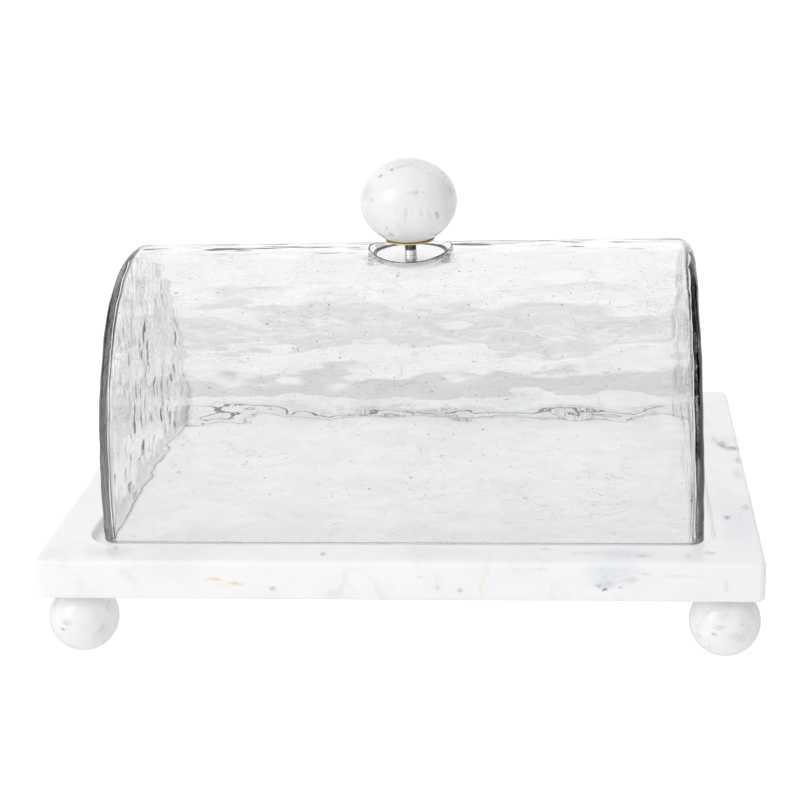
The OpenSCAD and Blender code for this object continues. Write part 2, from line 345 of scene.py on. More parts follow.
def make_glass():
    m = Net("hammered_glass")
    co = m.node("ShaderNodeTexCoord").outputs["Object"]
    flow = m.vec("MULTIPLY", co, (0.32, 1, 1))
    warp = m.vec("SCALE", m.vec("SUBTRACT", m.noise(co, 45, 2, 0.5, colour=True), (0.5, 0.5, 0.5)), 0.006)
    flow = m.vec("ADD", flow, warp)
    ripple = m.noise(flow, 190, 1, 0.4)
    fine = m.noise(flow, 560, 1, 0.4)
    height = m.math("ADD", m.math("MULTIPLY", ripple, 1.0), m.math("MULTIPLY", fine, 0.05))
    # patches of crackle low on the long walls, near the foot
    x, y, z = m.node("ShaderNodeSeparateXYZ", {"Vector": co}).outputs
    foot = m.step(z, z_top - 1 * MM, z_top + 9 * MM, 1.0, 0.0)
    patch = None
    for centre, half in ((-15, 38), (71, 15), (113, 5)):
        one = m.step(m.math("ABSOLUTE", m.math("SUBTRACT", x, centre * MM)), (half - 4) * MM, (half + 6) * MM, 1.0, 0.0)
        patch = one if patch is None else m.math("MAXIMUM", patch, one)
    patch = m.math("MULTIPLY", patch, m.step(m.noise(m.vec("MULTIPLY", co, (1, 0.2, 0.2)), 90, 3, 0.6), 0.40, 0.52))
    rear = m.step(y, 20 * MM, 50 * MM)
    crackle = m.math("MULTIPLY", m.math("MULTIPLY", foot, patch), rear)
    knots = m.noise(co, 300, 2, 0.5, 0.6)
    height = m.math("ADD", height, m.math("MULTIPLY", m.math("MULTIPLY", knots, crackle), 6.0))
    # striae: long faint streaks in the tone of the glass, with some crisp edges
    long_co = m.vec("ADD", m.vec("MULTIPLY", co, (0.22, 1, 1)), m.vec("SCALE", warp, 1.6))
    streak = m.noise(long_co, 150, 5, 0.62, 0.35)
    thread = m.noise(long_co, 420, 3, 0.6, 0.5)
    edge = m.math("ABSOLUTE", m.math("SUBTRACT", streak, 0.5))
    tone = m.math("ADD", m.math("MULTIPLY", m.step(streak, 0.47, 0.53), 0.45), m.math("MULTIPLY", m.step(thread, 0.44, 0.62), 0.35))
    tone = m.math("ADD", tone, m.step(edge, 0.0, 0.012, 0.35, 0.0))
    # clearer over the crown, and low on the far wall
    tone = m.math("MULTIPLY", tone, m.step(z, z_crown - 14 * MM, z_crown - 5 * MM, 1.0, 0.15))
    low_rear = m.math("MULTIPLY", m.step(y, 20 * MM, 50 * MM), m.step(z, z_top + 9 * MM, z_top + 15 * MM, 1.0, 0.0))
    tone = m.math("MULTIPLY", tone, m.math("SUBTRACT", 1.0, m.math("MULTIPLY", low_rear, 0.85)))
    tint = m.mix(tone, rgb(1.0, 1.0, 1.0), rgb(0.905, 0.907, 0.906))
    # drawn lines that run round the bends at both ends, faint on the end walls themselves
    away = m.math("ABSOLUTE", x)
    face = m.node("ShaderNodeNewGeometry").outputs["True Normal"]
    nx = m.math("ABSOLUTE", m.node("ShaderNodeSeparateXYZ", {"Vector": face}).outputs[0])
    far = m.math("MULTIPLY", m.step(away, g_hi.x - 8 * MM, g_hi.x - 5 * MM), m.step(nx, 0.90, 0.98, 1.0, 0.08))
    lines = m.step(m.noise(m.vec("MULTIPLY", co, (1, 0.05, 0.05)), 1300, 2, 0.5), 0.48, 0.55)
    flaws_and_painted_shade = m.math("MULTIPLY", m.math("MULTIPLY", far, lines), 0.5)
    # painted shade: the outer turn of the front bend at each end is painted nearly black, standing in for the dark edge
    # the glass shows there seen along the wall
    upright = m.math("ADD", away, m.math("MULTIPLY", m.math("SUBTRACT", z, z_rim), DRAFT))
    outer = m.step(upright, g_hi.x - 3.9 * MM, g_hi.x - 3.2 * MM)
    turn = m.math("MULTIPLY", m.step(nx, 0.60, 0.76), m.step(nx, 0.955, 0.975, 1.0, 0.0))
    turn = m.math("MULTIPLY", m.math("MULTIPLY", turn, outer), m.step(y, 5 * MM, 30 * MM, 0.97, 0.0))
    flaws_and_painted_shade = m.math("MAXIMUM", flaws_and_painted_shade, turn)
    # hair-thin dark striae along the vault
    hair = m.math("ABSOLUTE", m.math("SUBTRACT", m.noise(long_co, 120, 4, 0.62, 0.8), 0.5))
    hair = m.math("MULTIPLY", m.step(hair, 0.0, 0.009, 1.0, 0.0), m.step(m.noise(co, 40, 2, 0.5), 0.45, 0.60, 0.0, 0.30))
    flaws_and_painted_shade = m.math("MAXIMUM", flaws_and_painted_shade, m.math("MULTIPLY", hair, m.step(nx, 0.3, 0.6, 1.0, 0.0)))
    # curling creases in the end walls, strongest high up
    curl_co = m.vec("MULTIPLY", m.vec("ADD", co, m.vec("SCALE", warp, 1.2)), (1, 1, 0.33))
    curl = m.math("ABSOLUTE", m.math("SUBTRACT", m.noise(curl_co, 95, 3, 0.6, 1.2), 0.5))
    curl = m.math("MULTIPLY", m.step(curl, 0.0, 0.035, 1.0, 0.0), m.step(nx, 0.955, 0.985))
    flaws_and_painted_shade = m.math("MAXIMUM", flaws_and_painted_shade, m.math("MULTIPLY", curl, m.step(z, z_top + 25 * MM, z_top + 70 * MM, 0.08, 0.60)))
    # a painted contact shadow, a dark wavy thread low on the far wall where the foot meets the recess, and dark knots
    # of crackle along the far foot
    rear_skin = m.math("MULTIPLY", m.step(y, g_hi.y - 3 * MM, g_hi.y - 2 * MM), m.step(away, g_hi.x - 13 * MM, g_hi.x - 9 * MM, 1.0, 0.0))
    along = m.node("ShaderNodeCombineXYZ", {"X": x})
    wander = m.math("MULTIPLY", m.math("SUBTRACT", m.noise(along.outputs[0], 30, 2, 0.5), 0.5), 6.5 * MM)
    shiver = m.math("MULTIPLY", m.math("SUBTRACT", m.noise(along.outputs[0], 170, 3, 0.6), 0.5), 3.0 * MM)
    off = m.math("SUBTRACT", z, m.math("ADD", z_top - 1.2 * MM, m.math("ADD", wander, shiver)))
    painted_shadow_thread = m.math("MULTIPLY", m.step(m.math("ABSOLUTE", off), 0.18 * MM, 0.42 * MM, 1.0, 0.0), 0.95)
    knot_line = m.math("ABSOLUTE", m.math("SUBTRACT", m.noise(co, 300, 3, 0.6, 1.4), 0.5))
    knot_line = m.math("MULTIPLY", m.step(knot_line, 0.0, 0.035, 1.0, 0.0), patch)
    knot_line = m.math("MULTIPLY", knot_line, m.step(z, z_top + 0.5 * MM, z_top + 3 * MM, 0.85, 0.0))
    flaws_and_painted_shade = m.math("MAXIMUM", flaws_and_painted_shade, m.math("MULTIPLY", m.math("MAXIMUM", painted_shadow_thread, knot_line), rear_skin))
    # painted shade next to the disc: squiggly dark lines left and right of its near edge, standing in for the refracted
    # edge of the seat and the shadow under the disc
    painted_seat_shade = None
    for cx, cy, rx, ry in ((-14.5, -13.5, 6.0, 3.5), (16.5, -12.0, 7.0, 3.5)):
        d = m.vec("SUBTRACT", co, (k_x + cx * MM, cy * MM, z_crown - 2 * MM))
        d = m.vec("LENGTH", m.vec("DIVIDE", d, (rx * MM, ry * MM, 8 * MM)))
        one = m.step(d, 0.6, 1.15, 0.85, 0.0)
        painted_seat_shade = one if painted_seat_shade is None else m.math("MAXIMUM", painted_seat_shade, one)
    curls = m.math("ABSOLUTE", m.math("SUBTRACT", m.noise(m.vec("MULTIPLY", co, (0.6, 1, 1)), 300, 3, 0.6, 1.4), 0.5))
    flaws_and_painted_shade = m.math("MAXIMUM", flaws_and_painted_shade, m.math("MULTIPLY", m.step(curls, 0.02, 0.08, 1.0, 0.0), painted_seat_shade))
    # painted shadow: a soft grey patch under the right of the disc's near edge
    d = m.vec("SUBTRACT", co, (k_x + 15.5 * MM, -11.2 * MM, z_crown - 2 * MM))
    d = m.vec("LENGTH", m.vec("DIVIDE", d, (6.5 * MM, 2.4 * MM, 8 * MM)))
    flaws_and_painted_shade = m.math("MAXIMUM", flaws_and_painted_shade, m.step(d, 0.4, 1.1, 0.45, 0.0))
    # seeds too small to model: tiny dark specks
    cells = m.node("ShaderNodeTexVoronoi", {"Vector": co, "Scale": 150.0}).outputs["Distance"]
    flaws_and_painted_shade = m.math("MAXIMUM", flaws_and_painted_shade, m.step(cells, 0.025, 0.05, 0.7, 0.0))
    # real flaws and painted shade both darken the tint of the glass here
    tint = m.mix(flaws_and_painted_shade, tint, rgb(0.008, 0.010, 0.009))
    # the foot is ground, so it glows with the light of the tray
    ground = m.step(z, z_rim + 0.6 * MM, z_rim + 1.0 * MM, 0.45, 0.0)
    bsdf = m.node(
        "ShaderNodeBsdfPrincipled",
        {"Base Color": tint, "Roughness": ground, "IOR": 1.5, "Transmission Weight": 1.0, "Normal": m.bump(height, 0.35, 0.0003)},
    )
    # soft light reaches the marble inside without noise: rays from lamps and from matt surfaces pass straight through
    path = m.node("ShaderNodeLightPath")
    clear = m.node("ShaderNodeBsdfTransparent", {"Color": rgb(0.99, 0.992, 0.991)})
    one = m.node("ShaderNodeMixShader", {0: path.outputs["Is Diffuse Ray"], 1: bsdf.outputs[0], 2: clear.outputs[0]})
    two = m.node("ShaderNodeMixShader", {0: path.outputs["Is Shadow Ray"], 1: one.outputs[0], 2: clear.outputs[0]})
    dark = m.node("ShaderNodeVolumeAbsorption", {"Color": rgb(0.24, 0.30, 0.27), "Density": 3.5})
    return m.finish(two.outputs[0], dark.outputs[0])


def make_gasket():
    m = Net("silicone")
    co = m.node("ShaderNodeTexCoord").outputs["Object"]
    cloud = m.noise(co, 350, 4, 0.6)
    c = m.mix(cloud, rgb(0.92, 0.925, 0.925), rgb(0.96, 0.965, 0.965))
    r = m.line(cloud, 0.3, 0.7, 0.25, 0.40)
    bsdf = m.node(
        "ShaderNodeBsdfPrincipled",
        {"Base Color": c, "Roughness": r, "IOR": 1.41, "Transmission Weight": 0.15, "Normal": m.bump(cloud, 0.1, 0.0002)},
    )
    path = m.node("ShaderNodeLightPath")
    clear = m.node("ShaderNodeBsdfTransparent", {"Color": rgb(0.98, 0.985, 0.985)})
    one = m.node("ShaderNodeMixShader", {0: path.outputs["Is Diffuse Ray"], 1: bsdf.outputs[0], 2: clear.outputs[0]})
    two = m.node("ShaderNodeMixShader", {0: path.outputs["Is Shadow Ray"], 1: one.outputs[0], 2: clear.outputs[0]})
    return m.finish(two.outputs[0])


# ---------------------------------------------------------------- sizes from the frame

t_lo, t_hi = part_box("marble_base")
g_lo, g_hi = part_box("glass_dome")
z_under, z_top = t_lo.z, t_hi.z
z_rim, z_crown = g_lo.z, g_hi.z
k_lo, k_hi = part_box("knob")
k_x = (k_lo.x + k_hi.x) / 2
WALL = 4.5 * MM
ARCH_N = 2.1
disc_lo, disc_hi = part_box("knob_disc")
DISC_R, DISC_T, DISC_FLAT = (disc_hi.x - disc_lo.x) / 2, 0.5 * MM, 15 * MM
z_disc = disc_lo.z + DISC_T  # top of the flat of the disc
HOLE_R = 15.3 * MM


def arch_height(y, off=0.0):
    """Height of the smooth arch of the cover at y, off outside its outer skin."""
    a, b = g_hi.y + off, z_crown - z_top + off
    return z_top + b * (1 - (np.abs(y) / a) ** ARCH_N) ** (1 / ARCH_N)

# ---------------------------------------------------------------- tray

WHITE = rgb(0.915, 0.917, 0.912)
CLOUD = rgb(0.84, 0.852, 0.862)
VEIN = rgb(0.52, 0.54, 0.565)

SLATE, BLUE, DARK = rgb(0.45, 0.47, 0.52), rgb(0.66, 0.69, 0.76), rgb(0.16, 0.17, 0.20)
RUST, SAND, GREY = rgb(0.80, 0.48, 0.26), rgb(0.80, 0.79, 0.62), rgb(0.50, 0.51, 0.54)
FRONT, TOP = -t_hi.y / MM, z_top / MM
slab = marble(
    "marble_slab", 0.0, WHITE, CLOUD, VEIN, vein_share=0.3,
    marks=[((*p[:2], p[2]), r, c, k) for p, r, c, k in (
        # a wedge of blue-grey in the right half of the front, with dark flecks at its tip
        ((91, FRONT, 44.5), (15, 6, 3.6), BLUE, 0.62),
        ((89, FRONT, 40.5), (9, 6, 3.4), BLUE, 0.7),
        ((87, FRONT, 38.2), (5, 5, 2.4), SLATE, 0.45),
        ((98, FRONT, 40.8), (4.5, 5, 1.6), SLATE, 0.4),
        ((86.6, FRONT, 36.3), (1.3, 4, 1.0), DARK, 0.95),
        ((84.0, FRONT, 38.2), (2.2, 4, 1.1), SLATE, 0.8),
        ((94.2, FRONT, 37.4), (1.8, 4, 0.8), GREY, 0.8),
        ((104, FRONT, 43.5), (3.0, 4, 0.9), GREY, 0.4),
        ((118, FRONT, 42), (9, 4, 0.9), GREY, 0.22),
        # rust flecks, a fault line and small grey spots along the front
        ((-75, FRONT, 40.0), (4.6, 4, 0.9), RUST, 0.62),
        ((-65.5, FRONT, 38.4), (4.2, 4, 1.2), RUST, 0.66),
        ((-70, FRONT, 37.2), (6, 4, 2.0), SAND, 0.3),
        ((-51, FRONT, 34.8), (1.6, 4, 1.2), GREY, 0.8),
        ((18.6, FRONT, 36.0), (1.5, 4, 1.3), GREY, 0.5),
        ((27.7, FRONT, 35.4), (1.4, 4, 1.5), GREY, 0.75),
        ((12, FRONT, 41.0), (2.0, 4, 1.4), GREY, 0.28),
        ((37.0, FRONT, 38.0), (1.2, 6, 7.0), SAND, 0.5),
        ((39.0, FRONT, 45.5), (1.2, 9, 5.0), SAND, 0.5),
        ((60, FRONT, 45.0), (7, 4, 0.8), GREY, 0.25),
        ((137, FRONT, 37.5), (1.2, 4, 3.2), GREY, 0.35),
        ((-20, FRONT, 42), (2.5, 4, 2.5), GREY, 0.15),
        # the top: cool clouds, a few streaks, and a dark vein at the back of the right margin
        ((-121, -92, TOP), (14, 7, 4), BLUE, 0.55),
        ((17, -92, TOP), (26, 7, 4), BLUE, 0.38),
        ((94, -93, TOP), (18, 6, 4), BLUE, 0.62),
        ((-120, -88, TOP), (1.8, 3.0, 4), GREY, 0.6),
        ((-30, -93.7, TOP), (2.0, 2.4, 4), GREY, 0.85),
        ((40.5, -94, TOP), (1.4, 9, 4), SAND, 0.45),
        ((62.6, -88.5, TOP), (3.2, 1.4, 4), SLATE, 0.75),
        ((78, -92, TOP), (6, 1.6, 4), GREY, 0.35),
        ((102, -95, TOP), (5, 2.6, 4), SLATE, 0.55),
        ((129.5, -91.4, TOP), (3.4, 2.6, 4), SLATE, 0.62),
        ((121, -94, TOP), (1.5, 4, 4), GREY, 0.45),
        ((144, -60, TOP), (9, 34, 4), BLUE, 0.45),
        ((145, 27, TOP), (3.4, 6.0, 4), DARK, 0.72),
        ((149, 22, TOP), (4.0, 3.2, 4), DARK, 0.7),
        ((141, 34, TOP), (2.0, 7.0, 4), SLATE, 0.5),
        ((150, 7.9, TOP), (1.8, 5.0, 4), SLATE, 0.7),
        ((148, -8, TOP), (3.0, 9.0, 4), GREY, 0.35),
        ((148.6, -46, TOP), (2.2, 4.0, 4), SLATE, 0.65),
        ((140.5, -56, TOP), (1.8, 2.4, 4), DARK, 0.7),
        ((-146, 10, TOP), (4, 26, 4), BLUE, 0.35),
    )],
)


def round_rect(hl, hw, r, z, n_corner=10, n_x=26, n_y=18):
    """A loop of points round a rounded rectangle, with the same count for any size."""
    pts = []
    corners = ((hl - r, hw - r, 0), (-hl + r, hw - r, 90), (-hl + r, -hw + r, 180), (hl - r, -hw + r, 270))
    for k, (cx, cy, a0) in enumerate(corners):
        for i in range(n_corner + 1):
            a = math.radians(a0 + 90 * i / n_corner)
            pts.append((cx + r * math.cos(a), cy + r * math.sin(a), z))
        nx, ny, _ = corners[(k + 1) % 4]
        a = math.radians(a0 + 90)
        start = Vector((cx + r * math.cos(a), cy + r * math.sin(a), z))
        end = Vector((nx + r * math.cos(a), ny + r * math.sin(a), z))
        count = n_x if k % 2 == 0 else n_y
        for i in range(1, count):
            pts.append(tuple(start.lerp(end, i / count)))
    return pts


def build_tray():
    hl, hw = t_hi.x, t_hi.y
    arris, plan_r = 2.0 * MM, 3.0 * MM
    rl, rw, rr = hl - 18.5 * MM, hw - 17.5 * MM, 12 * MM
    z_floor = z_top - 4 * MM
    lip, fillet = 1.1 * MM, 1.6 * MM
    loops = []

    def loop(inset, z, r=None):
        loops.append(round_rect(hl - inset, hw - inset, max(r if r is not None else plan_r - inset * 0.4, 1.2 * MM), z))

    # underside, from the middle outwards
    for f in (0.04, 0.3, 0.6, 0.85, 0.96):
        loops.append(round_rect(hl * f, hw * f, plan_r * max(f, 0.1), z_under))
    loop(arris * 1.6, z_under)
    for i in range(9):
        a = math.radians(90 * i / 8)
        loop(arris * (1 - math.sin(a)), z_under + arris * (1 - math.cos(a)))
    for f in (0.12, 0.3, 0.5, 0.7, 0.88):
        loop(0, z_under + arris + (z_top - z_under - 2 * arris) * f)
    for i in range(9):
        a = math.radians(90 * i / 8)
        loop(arris * (1 - math.cos(a)), z_top - arris * (1 - math.sin(a)))
    # top margin, its corner radius growing towards the recess
    for f in (0.12, 0.35, 0.6, 0.82, 0.94):
        x0, x1 = hl - arris, rl + lip
        y0, y1 = hw - arris, rw + lip
        loops.append(round_rect(x0 + (x1 - x0) * f, y0 + (y1 - y0) * f, plan_r + (rr + lip - plan_r) * f, z_top))
    for i in range(8):
        a = math.radians(90 * i / 7)
        g = lip * (1 - math.sin(a))
        loops.append(round_rect(rl + g, rw + g, rr + g, z_top - lip * (1 - math.cos(a))))
    for i in range(8):
        a = math.radians(90 * i / 7)
        g = -fillet * (1 - math.cos(a))
        loops.append(round_rect(rl + g, rw + g, rr + g, z_floor + fillet * (1 - math.sin(a))))
    for f in (0.97, 0.85, 0.6, 0.3, 0.04):
        loops.append(round_rect((rl - fillet) * f, (rw - fillet) * f, max((rr - fillet) * f, 0.5 * MM), z_floor))
    verts, faces = [], []
    n = len(loops[0])
    for pts in loops:
        verts += pts
    for a in range(len(loops) - 1):
        for k in range(n):
            m = (k + 1) % n
            faces.append((a * n + k, a * n + m, (a + 1) * n + m, (a + 1) * n + k))
    faces.append(tuple(range(n)))
    faces.append(tuple(range((len(loops) - 1) * n, len(loops) * n)))
    obj = mesh_object("tray_slab", verts, faces, slab, "base", ["marble_base"], angle=40)
    holes = []
    for name in ("foot_front_left", "foot_front_right", "foot_back_left", "foot_back_right"):
        lo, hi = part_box(name)
        c = (lo + hi) / 2
        holes.append(cutter(c.x, c.y, z_under - 5 * MM, z_under + 9 * MM, 2.15 * MM, 32))
    subtract(obj, holes)
    for p in obj.data.polygons:
        p.use_smooth = True
    obj.data.set_sharp_from_angle(angle=math.radians(40))
    return obj


tray = build_tray()

# ---------------------------------------------------------------- feet and knob

for k, name in enumerate(("foot_front_left", "foot_front_right", "foot_back_left", "foot_back_right")):
    lo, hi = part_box(name)
    c = (lo + hi) / 2
    r = (hi.x - lo.x) / 2
    top = hi.z - lo.z
    mid = lo.z + top / 2
    flat = 3.5 * MM
    a0 = math.degrees(math.asin(flat / r))
    q = 0.35 * MM
    prof = [(0, lo.z), (flat * 0.5, lo.z), (flat - q, lo.z)]
    prof += arc(0, mid, r, -90 + a0 + 1.6, 90 - a0 - 1.6, 46)
    prof += [(flat - q, hi.z), (2.45 * MM, hi.z), (2.15 * MM, hi.z - 0.3 * MM), (2.15 * MM, hi.z - 8.9 * MM), (1.9 * MM, hi.z - 9 * MM), (0, hi.z - 9 * MM)]
    material = marble(
        "marble_ball_" + name, 1.0 + 0.37 * k, rgb(0.875, 0.875, 0.872), rgb(0.80, 0.805, 0.812), rgb(0.40, 0.41, 0.43),
        cloud_scale=40.0, vein_scale=22.0, vein_share=0.6, vein_width=0.018, rough=(0.07, 0.12),
        # painted reflection: two grey patches on the front of each ball, alike on all four, standing in for a dark
        # reflection in the polished marble
        spots=(
            ((c.x - 3.2 * MM, c.y - r * 0.93, mid + 4.0 * MM), (3.4 * MM, 3 * MM, 1.6 * MM), rgb(0.45, 0.46, 0.48), 0.55, 0.35),
            ((c.x - 5.2 * MM, c.y - r * 0.93, mid + 0.6 * MM), (1.4 * MM, 3 * MM, 1.0 * MM), rgb(0.30, 0.31, 0.33), 0.8, 0.3),
        ),
    )
    v, f = lathe(prof, (c.x, c.y), 96)
    mesh_object("ball_" + name, v, f, material, "base", [name], angle=35)

k_a = (k_hi.x - k_lo.x) / 2
k_c = 18.8 * MM
k_mid = k_hi.z - k_c
flat = 9.9 * MM
a0 = math.degrees(math.asin(flat / k_a))
prof = [(0, k_lo.z + 14.5 * MM), (3.8 * MM, k_lo.z + 14.5 * MM), (4 * MM, k_lo.z + 14.3 * MM), (4 * MM, k_lo.z + 0.3 * MM), (4.3 * MM, k_lo.z), (6.5 * MM, k_lo.z), (flat - 0.5 * MM, k_lo.z)]
prof += [(k_a * math.sin(t), k_mid - k_c * math.cos(t)) for t in [math.radians(a0 + 1.2 + (178.5 - a0 - 1.2) * i / 56) for i in range(57)]]
prof += [(0, k_hi.z)]
v, f = lathe(prof, (k_x, 0), 128)
VEINS, SMOKE = rgb(0.30, 0.31, 0.33), rgb(0.56, 0.57, 0.59)
kz = k_mid / MM - 175.97  # keeps the veins on the ball if its height changes
knob_marble = marble(
    "marble_knob", 5.3, rgb(0.855, 0.855, 0.855), rgb(0.79, 0.795, 0.80), rgb(0.42, 0.43, 0.45),
    cloud_scale=26.0, vein_scale=15.0, vein_share=0.3, vein_width=0.014, rough=(0.13, 0.22),
    marks=[((p[0], p[1], p[2] + kz), r, c, k) for p, r, c, k in (
        ((2, -2, 195.5), (15, 14, 5.5), rgb(0.66, 0.665, 0.67), 0.42),
        # painted shade: a grey cloud over the right side of the ball darkens its shaded side
        ((25, -7, 176), (10, 17, 17), rgb(0.60, 0.605, 0.61), 0.45),
        # short arcs round the crown of the ball
        ((-3.8, -9.6, 191.9), (1.5, 1.2, 1.0), VEINS, 0.7),
        ((-1.6, -8.6, 192.6), (2.2, 0.9, 0.6), VEINS, 0.75),
        ((1.6, -7.6, 193.1), (2.4, 0.8, 0.5), SMOKE, 0.8),
        ((5.0, -7.0, 193.1), (2.4, 0.8, 0.5), SMOKE, 0.9),
        ((8.2, -7.8, 192.2), (1.6, 0.9, 0.6), SMOKE, 0.7),
        ((-9.0, -10.4, 188.8), (1.9, 1.4, 0.7), VEINS, 0.75),
        ((-7.2, -10.6, 189.7), (1.0, 1.0, 0.6), VEINS, 0.6),
        ((12.1, -9.0, 190.1), (0.9, 1.0, 0.7), SMOKE, 0.8),
        ((17.4, -1.9, 188.7), (1.6, 2.0, 0.8), VEINS, 0.85),
        ((19.2, -3.6, 186.7), (0.9, 1.4, 1.2), VEINS, 0.7),
        ((2.6, -19.3, 183.8), (3.2, 1.0, 0.6), SMOKE, 0.6),
        ((6.6, -18.7, 184.3), (3.6, 1.0, 0.55), VEINS, 0.6),
        ((10.4, -17.2, 184.0), (2.2, 1.0, 0.55), SMOKE, 0.6),
        ((5.0, -19.0, 182.6), (4.5, 1.0, 0.5), SMOKE, 0.4),
        ((-12.1, -14.8, 181.0), (1.0, 1.2, 1.0), SMOKE, 0.7),
        ((19.8, -9.6, 182.4), (0.8, 1.4, 2.2), SMOKE, 0.55),
        # upright smudges in the middle, and a streak low on the left
        ((2.7, -21.5, 174.6), (1.1, 1.5, 4.0), SMOKE, 0.5),
        ((4.9, -21.3, 177.5), (0.9, 1.5, 4.0), SMOKE, 0.3),
        ((9.4, -20.2, 175.2), (1.0, 1.5, 2.8), SMOKE, 0.55),
        ((12.6, -18.6, 174.2), (1.0, 1.5, 2.6), SMOKE, 0.45),
        ((16.0, -16.2, 173.6), (0.9, 1.5, 2.2), VEINS, 0.6),
        ((-0.8, -21.2, 177.0), (1.0, 1.5, 3.0), SMOKE, 0.25),
        ((-5.9, -17.6, 167.4), (0.9, 1.4, 1.6), VEINS, 0.6),
        ((-4.7, -15.6, 164.4), (1.1, 1.4, 1.6), VEINS, 0.7),
        ((-11.5, -12.5, 167.0), (1.2, 1.4, 1.4), SMOKE, 0.4),
        ((13.0, -12.5, 163.5), (2.0, 2.0, 1.0), SMOKE, 0.45),
    )],
)
mesh_object("ball_knob", v, f, knob_marble, "dome", ["knob"], angle=35)

# ---------------------------------------------------------------- metal under the knob

chrome = metal("chrome_plate", rgb(0.86, 0.865, 0.875), rgb(0.80, 0.805, 0.815), (0.02, 0.05), bump=0.01)
brass = metal("polished_brass", rgb(0.83, 0.62, 0.30), rgb(0.74, 0.52, 0.22), (0.12, 0.22), stretch=(1, 1, 30))
steel = metal("bright_steel", rgb(0.62, 0.63, 0.65), rgb(0.50, 0.51, 0.53), (0.18, 0.3))
dark = metal("blued_steel", rgb(0.17, 0.17, 0.18), rgb(0.10, 0.10, 0.11), (0.22, 0.36))
silicone = make_gasket()


def disc_metal():
    """Chrome on the disc: satin on the flat, bright on the turned-up flank, with a painted dark reflection in the bend
    and painted shade on the cut edge."""
    m = Net("satin_chrome")
    co = m.node("ShaderNodeTexCoord").outputs["Object"]
    flat_co = m.vec("MULTIPLY", m.vec("SUBTRACT", co, (k_x, 0, 0)), (1, 1, 0))
    r = m.vec("LENGTH", flat_co)
    ragged = m.math("MULTIPLY", m.math("SUBTRACT", m.noise(co, 160, 3, 0.6), 0.5), 0.0007)
    r = m.math("ADD", r, ragged)
    # painted reflection: a dark band in the bend, widest on the far and near sides, where the flank is shallow
    bend = m.math("MULTIPLY", m.step(r, DISC_FLAT + 0.05 * MM, DISC_FLAT + 0.4 * MM), m.step(r, DISC_FLAT + 1.3 * MM, DISC_FLAT + 1.8 * MM, 1.0, 0.0))
    core = m.math("MULTIPLY", m.step(r, DISC_FLAT + 0.55 * MM, DISC_FLAT + 0.8 * MM), m.step(r, DISC_FLAT + 1.0 * MM, DISC_FLAT + 1.25 * MM, 1.0, 0.0))
    # painted shade: the cut edge is painted nearly black, standing in for the rim's edge and the shadow gap under it
    edge = m.step(r, DISC_R - 0.30 * MM, DISC_R - 0.12 * MM)
    # the painted dark band is on the upper side only; the underside is plain
    face = m.node("ShaderNodeNewGeometry").outputs["True Normal"]
    above = m.step(m.node("ShaderNodeSeparateXYZ", {"Vector": face}).outputs[2], 0.0, 0.3)
    bend = m.math("MULTIPLY", bend, above)
    haze = m.noise(co, 240, 4, 0.6)
    colour = m.mix(m.step(haze, 0.35, 0.7), rgb(0.985, 0.985, 0.988), rgb(0.93, 0.935, 0.94))
    painted_bend_dark = m.mix(core, rgb(0.03, 0.03, 0.035), rgb(0.20, 0.20, 0.21))
    colour = m.mix(bend, colour, painted_bend_dark)
    colour = m.mix(m.math("MULTIPLY", edge, 0.93), colour, rgb(0.03, 0.03, 0.035))
    rough = m.step(r, DISC_FLAT - 1 * MM, DISC_FLAT + 2 * MM, 0.26, 0.08)
    rough = m.math("ADD", rough, m.math("MULTIPLY", haze, 0.05))
    rough = m.math("ADD", rough, m.math("MULTIPLY", m.math("SUBTRACT", 1.0, above), 0.25))
    # the underside is blasted nearly white, and the flat a little
    bright = m.math("MULTIPLY", m.step(r, DISC_FLAT - 1.2 * MM, DISC_FLAT + 0.2 * MM, 0.93, 1.0), m.line(above, 0.0, 1.0, 0.5, 1.0))
    bsdf = m.node(
        "ShaderNodeBsdfPrincipled",
        {"Base Color": colour, "Metallic": bright, "Roughness": rough, "Normal": m.bump(haze, 0.02, 0.0001)},
    )
    return m.finish(bsdf.outputs[0])


def neck_metal(z_collar):
    m = Net("neck_steel")
    co = m.node("ShaderNodeTexCoord").outputs["Object"]
    z = m.node("ShaderNodeSeparateXYZ", {"Vector": co}).outputs[2]
    rings = m.noise(m.vec("MULTIPLY", co, (1, 1, 14)), 500, 4, 0.6)
    up = m.step(z, z_collar - 0.1 * MM, z_collar + 0.15 * MM)
    dark_tone = m.mix(rings, rgb(0.05, 0.05, 0.055), rgb(0.16, 0.16, 0.17))
    light_tone = m.mix(rings, rgb(0.80, 0.81, 0.82), rgb(0.95, 0.95, 0.955))
    bsdf = m.node(
        "ShaderNodeBsdfPrincipled",
        {"Base Color": m.mix(up, light_tone, dark_tone), "Metallic": 1.0, "Roughness": m.line(rings, 0.3, 0.7, 0.22, 0.36), "Normal": m.bump(rings, 0.05, 0.0001)},
    )
    return m.finish(bsdf.outputs[0])



def turned_up(x, y, z_flat, flat, proud):
    """Height of a sheet that is flat in the middle and turned up round it, to a rim of radius
    DISC_R that follows the vault, proud above it. x and y are measured from the hole."""
    r = np.hypot(x, y)
    side = np.abs(y) / np.maximum(r, 1e-9) * DISC_R
    rim = arch_height(np.minimum(side, DISC_R)) + proud
    t = np.maximum(0, r - flat) / (DISC_R - DISC_FLAT)
    # a soft bend, then a straight flank; the flat is very slightly cupped
    bend = np.where(t < 0.5, t * t, t - 0.25) / 0.75
    cup = 0.38 * MM * np.minimum(r / DISC_FLAT, 1.0) ** 2
    return z_flat + cup + (rim - z_disc - cup) * bend


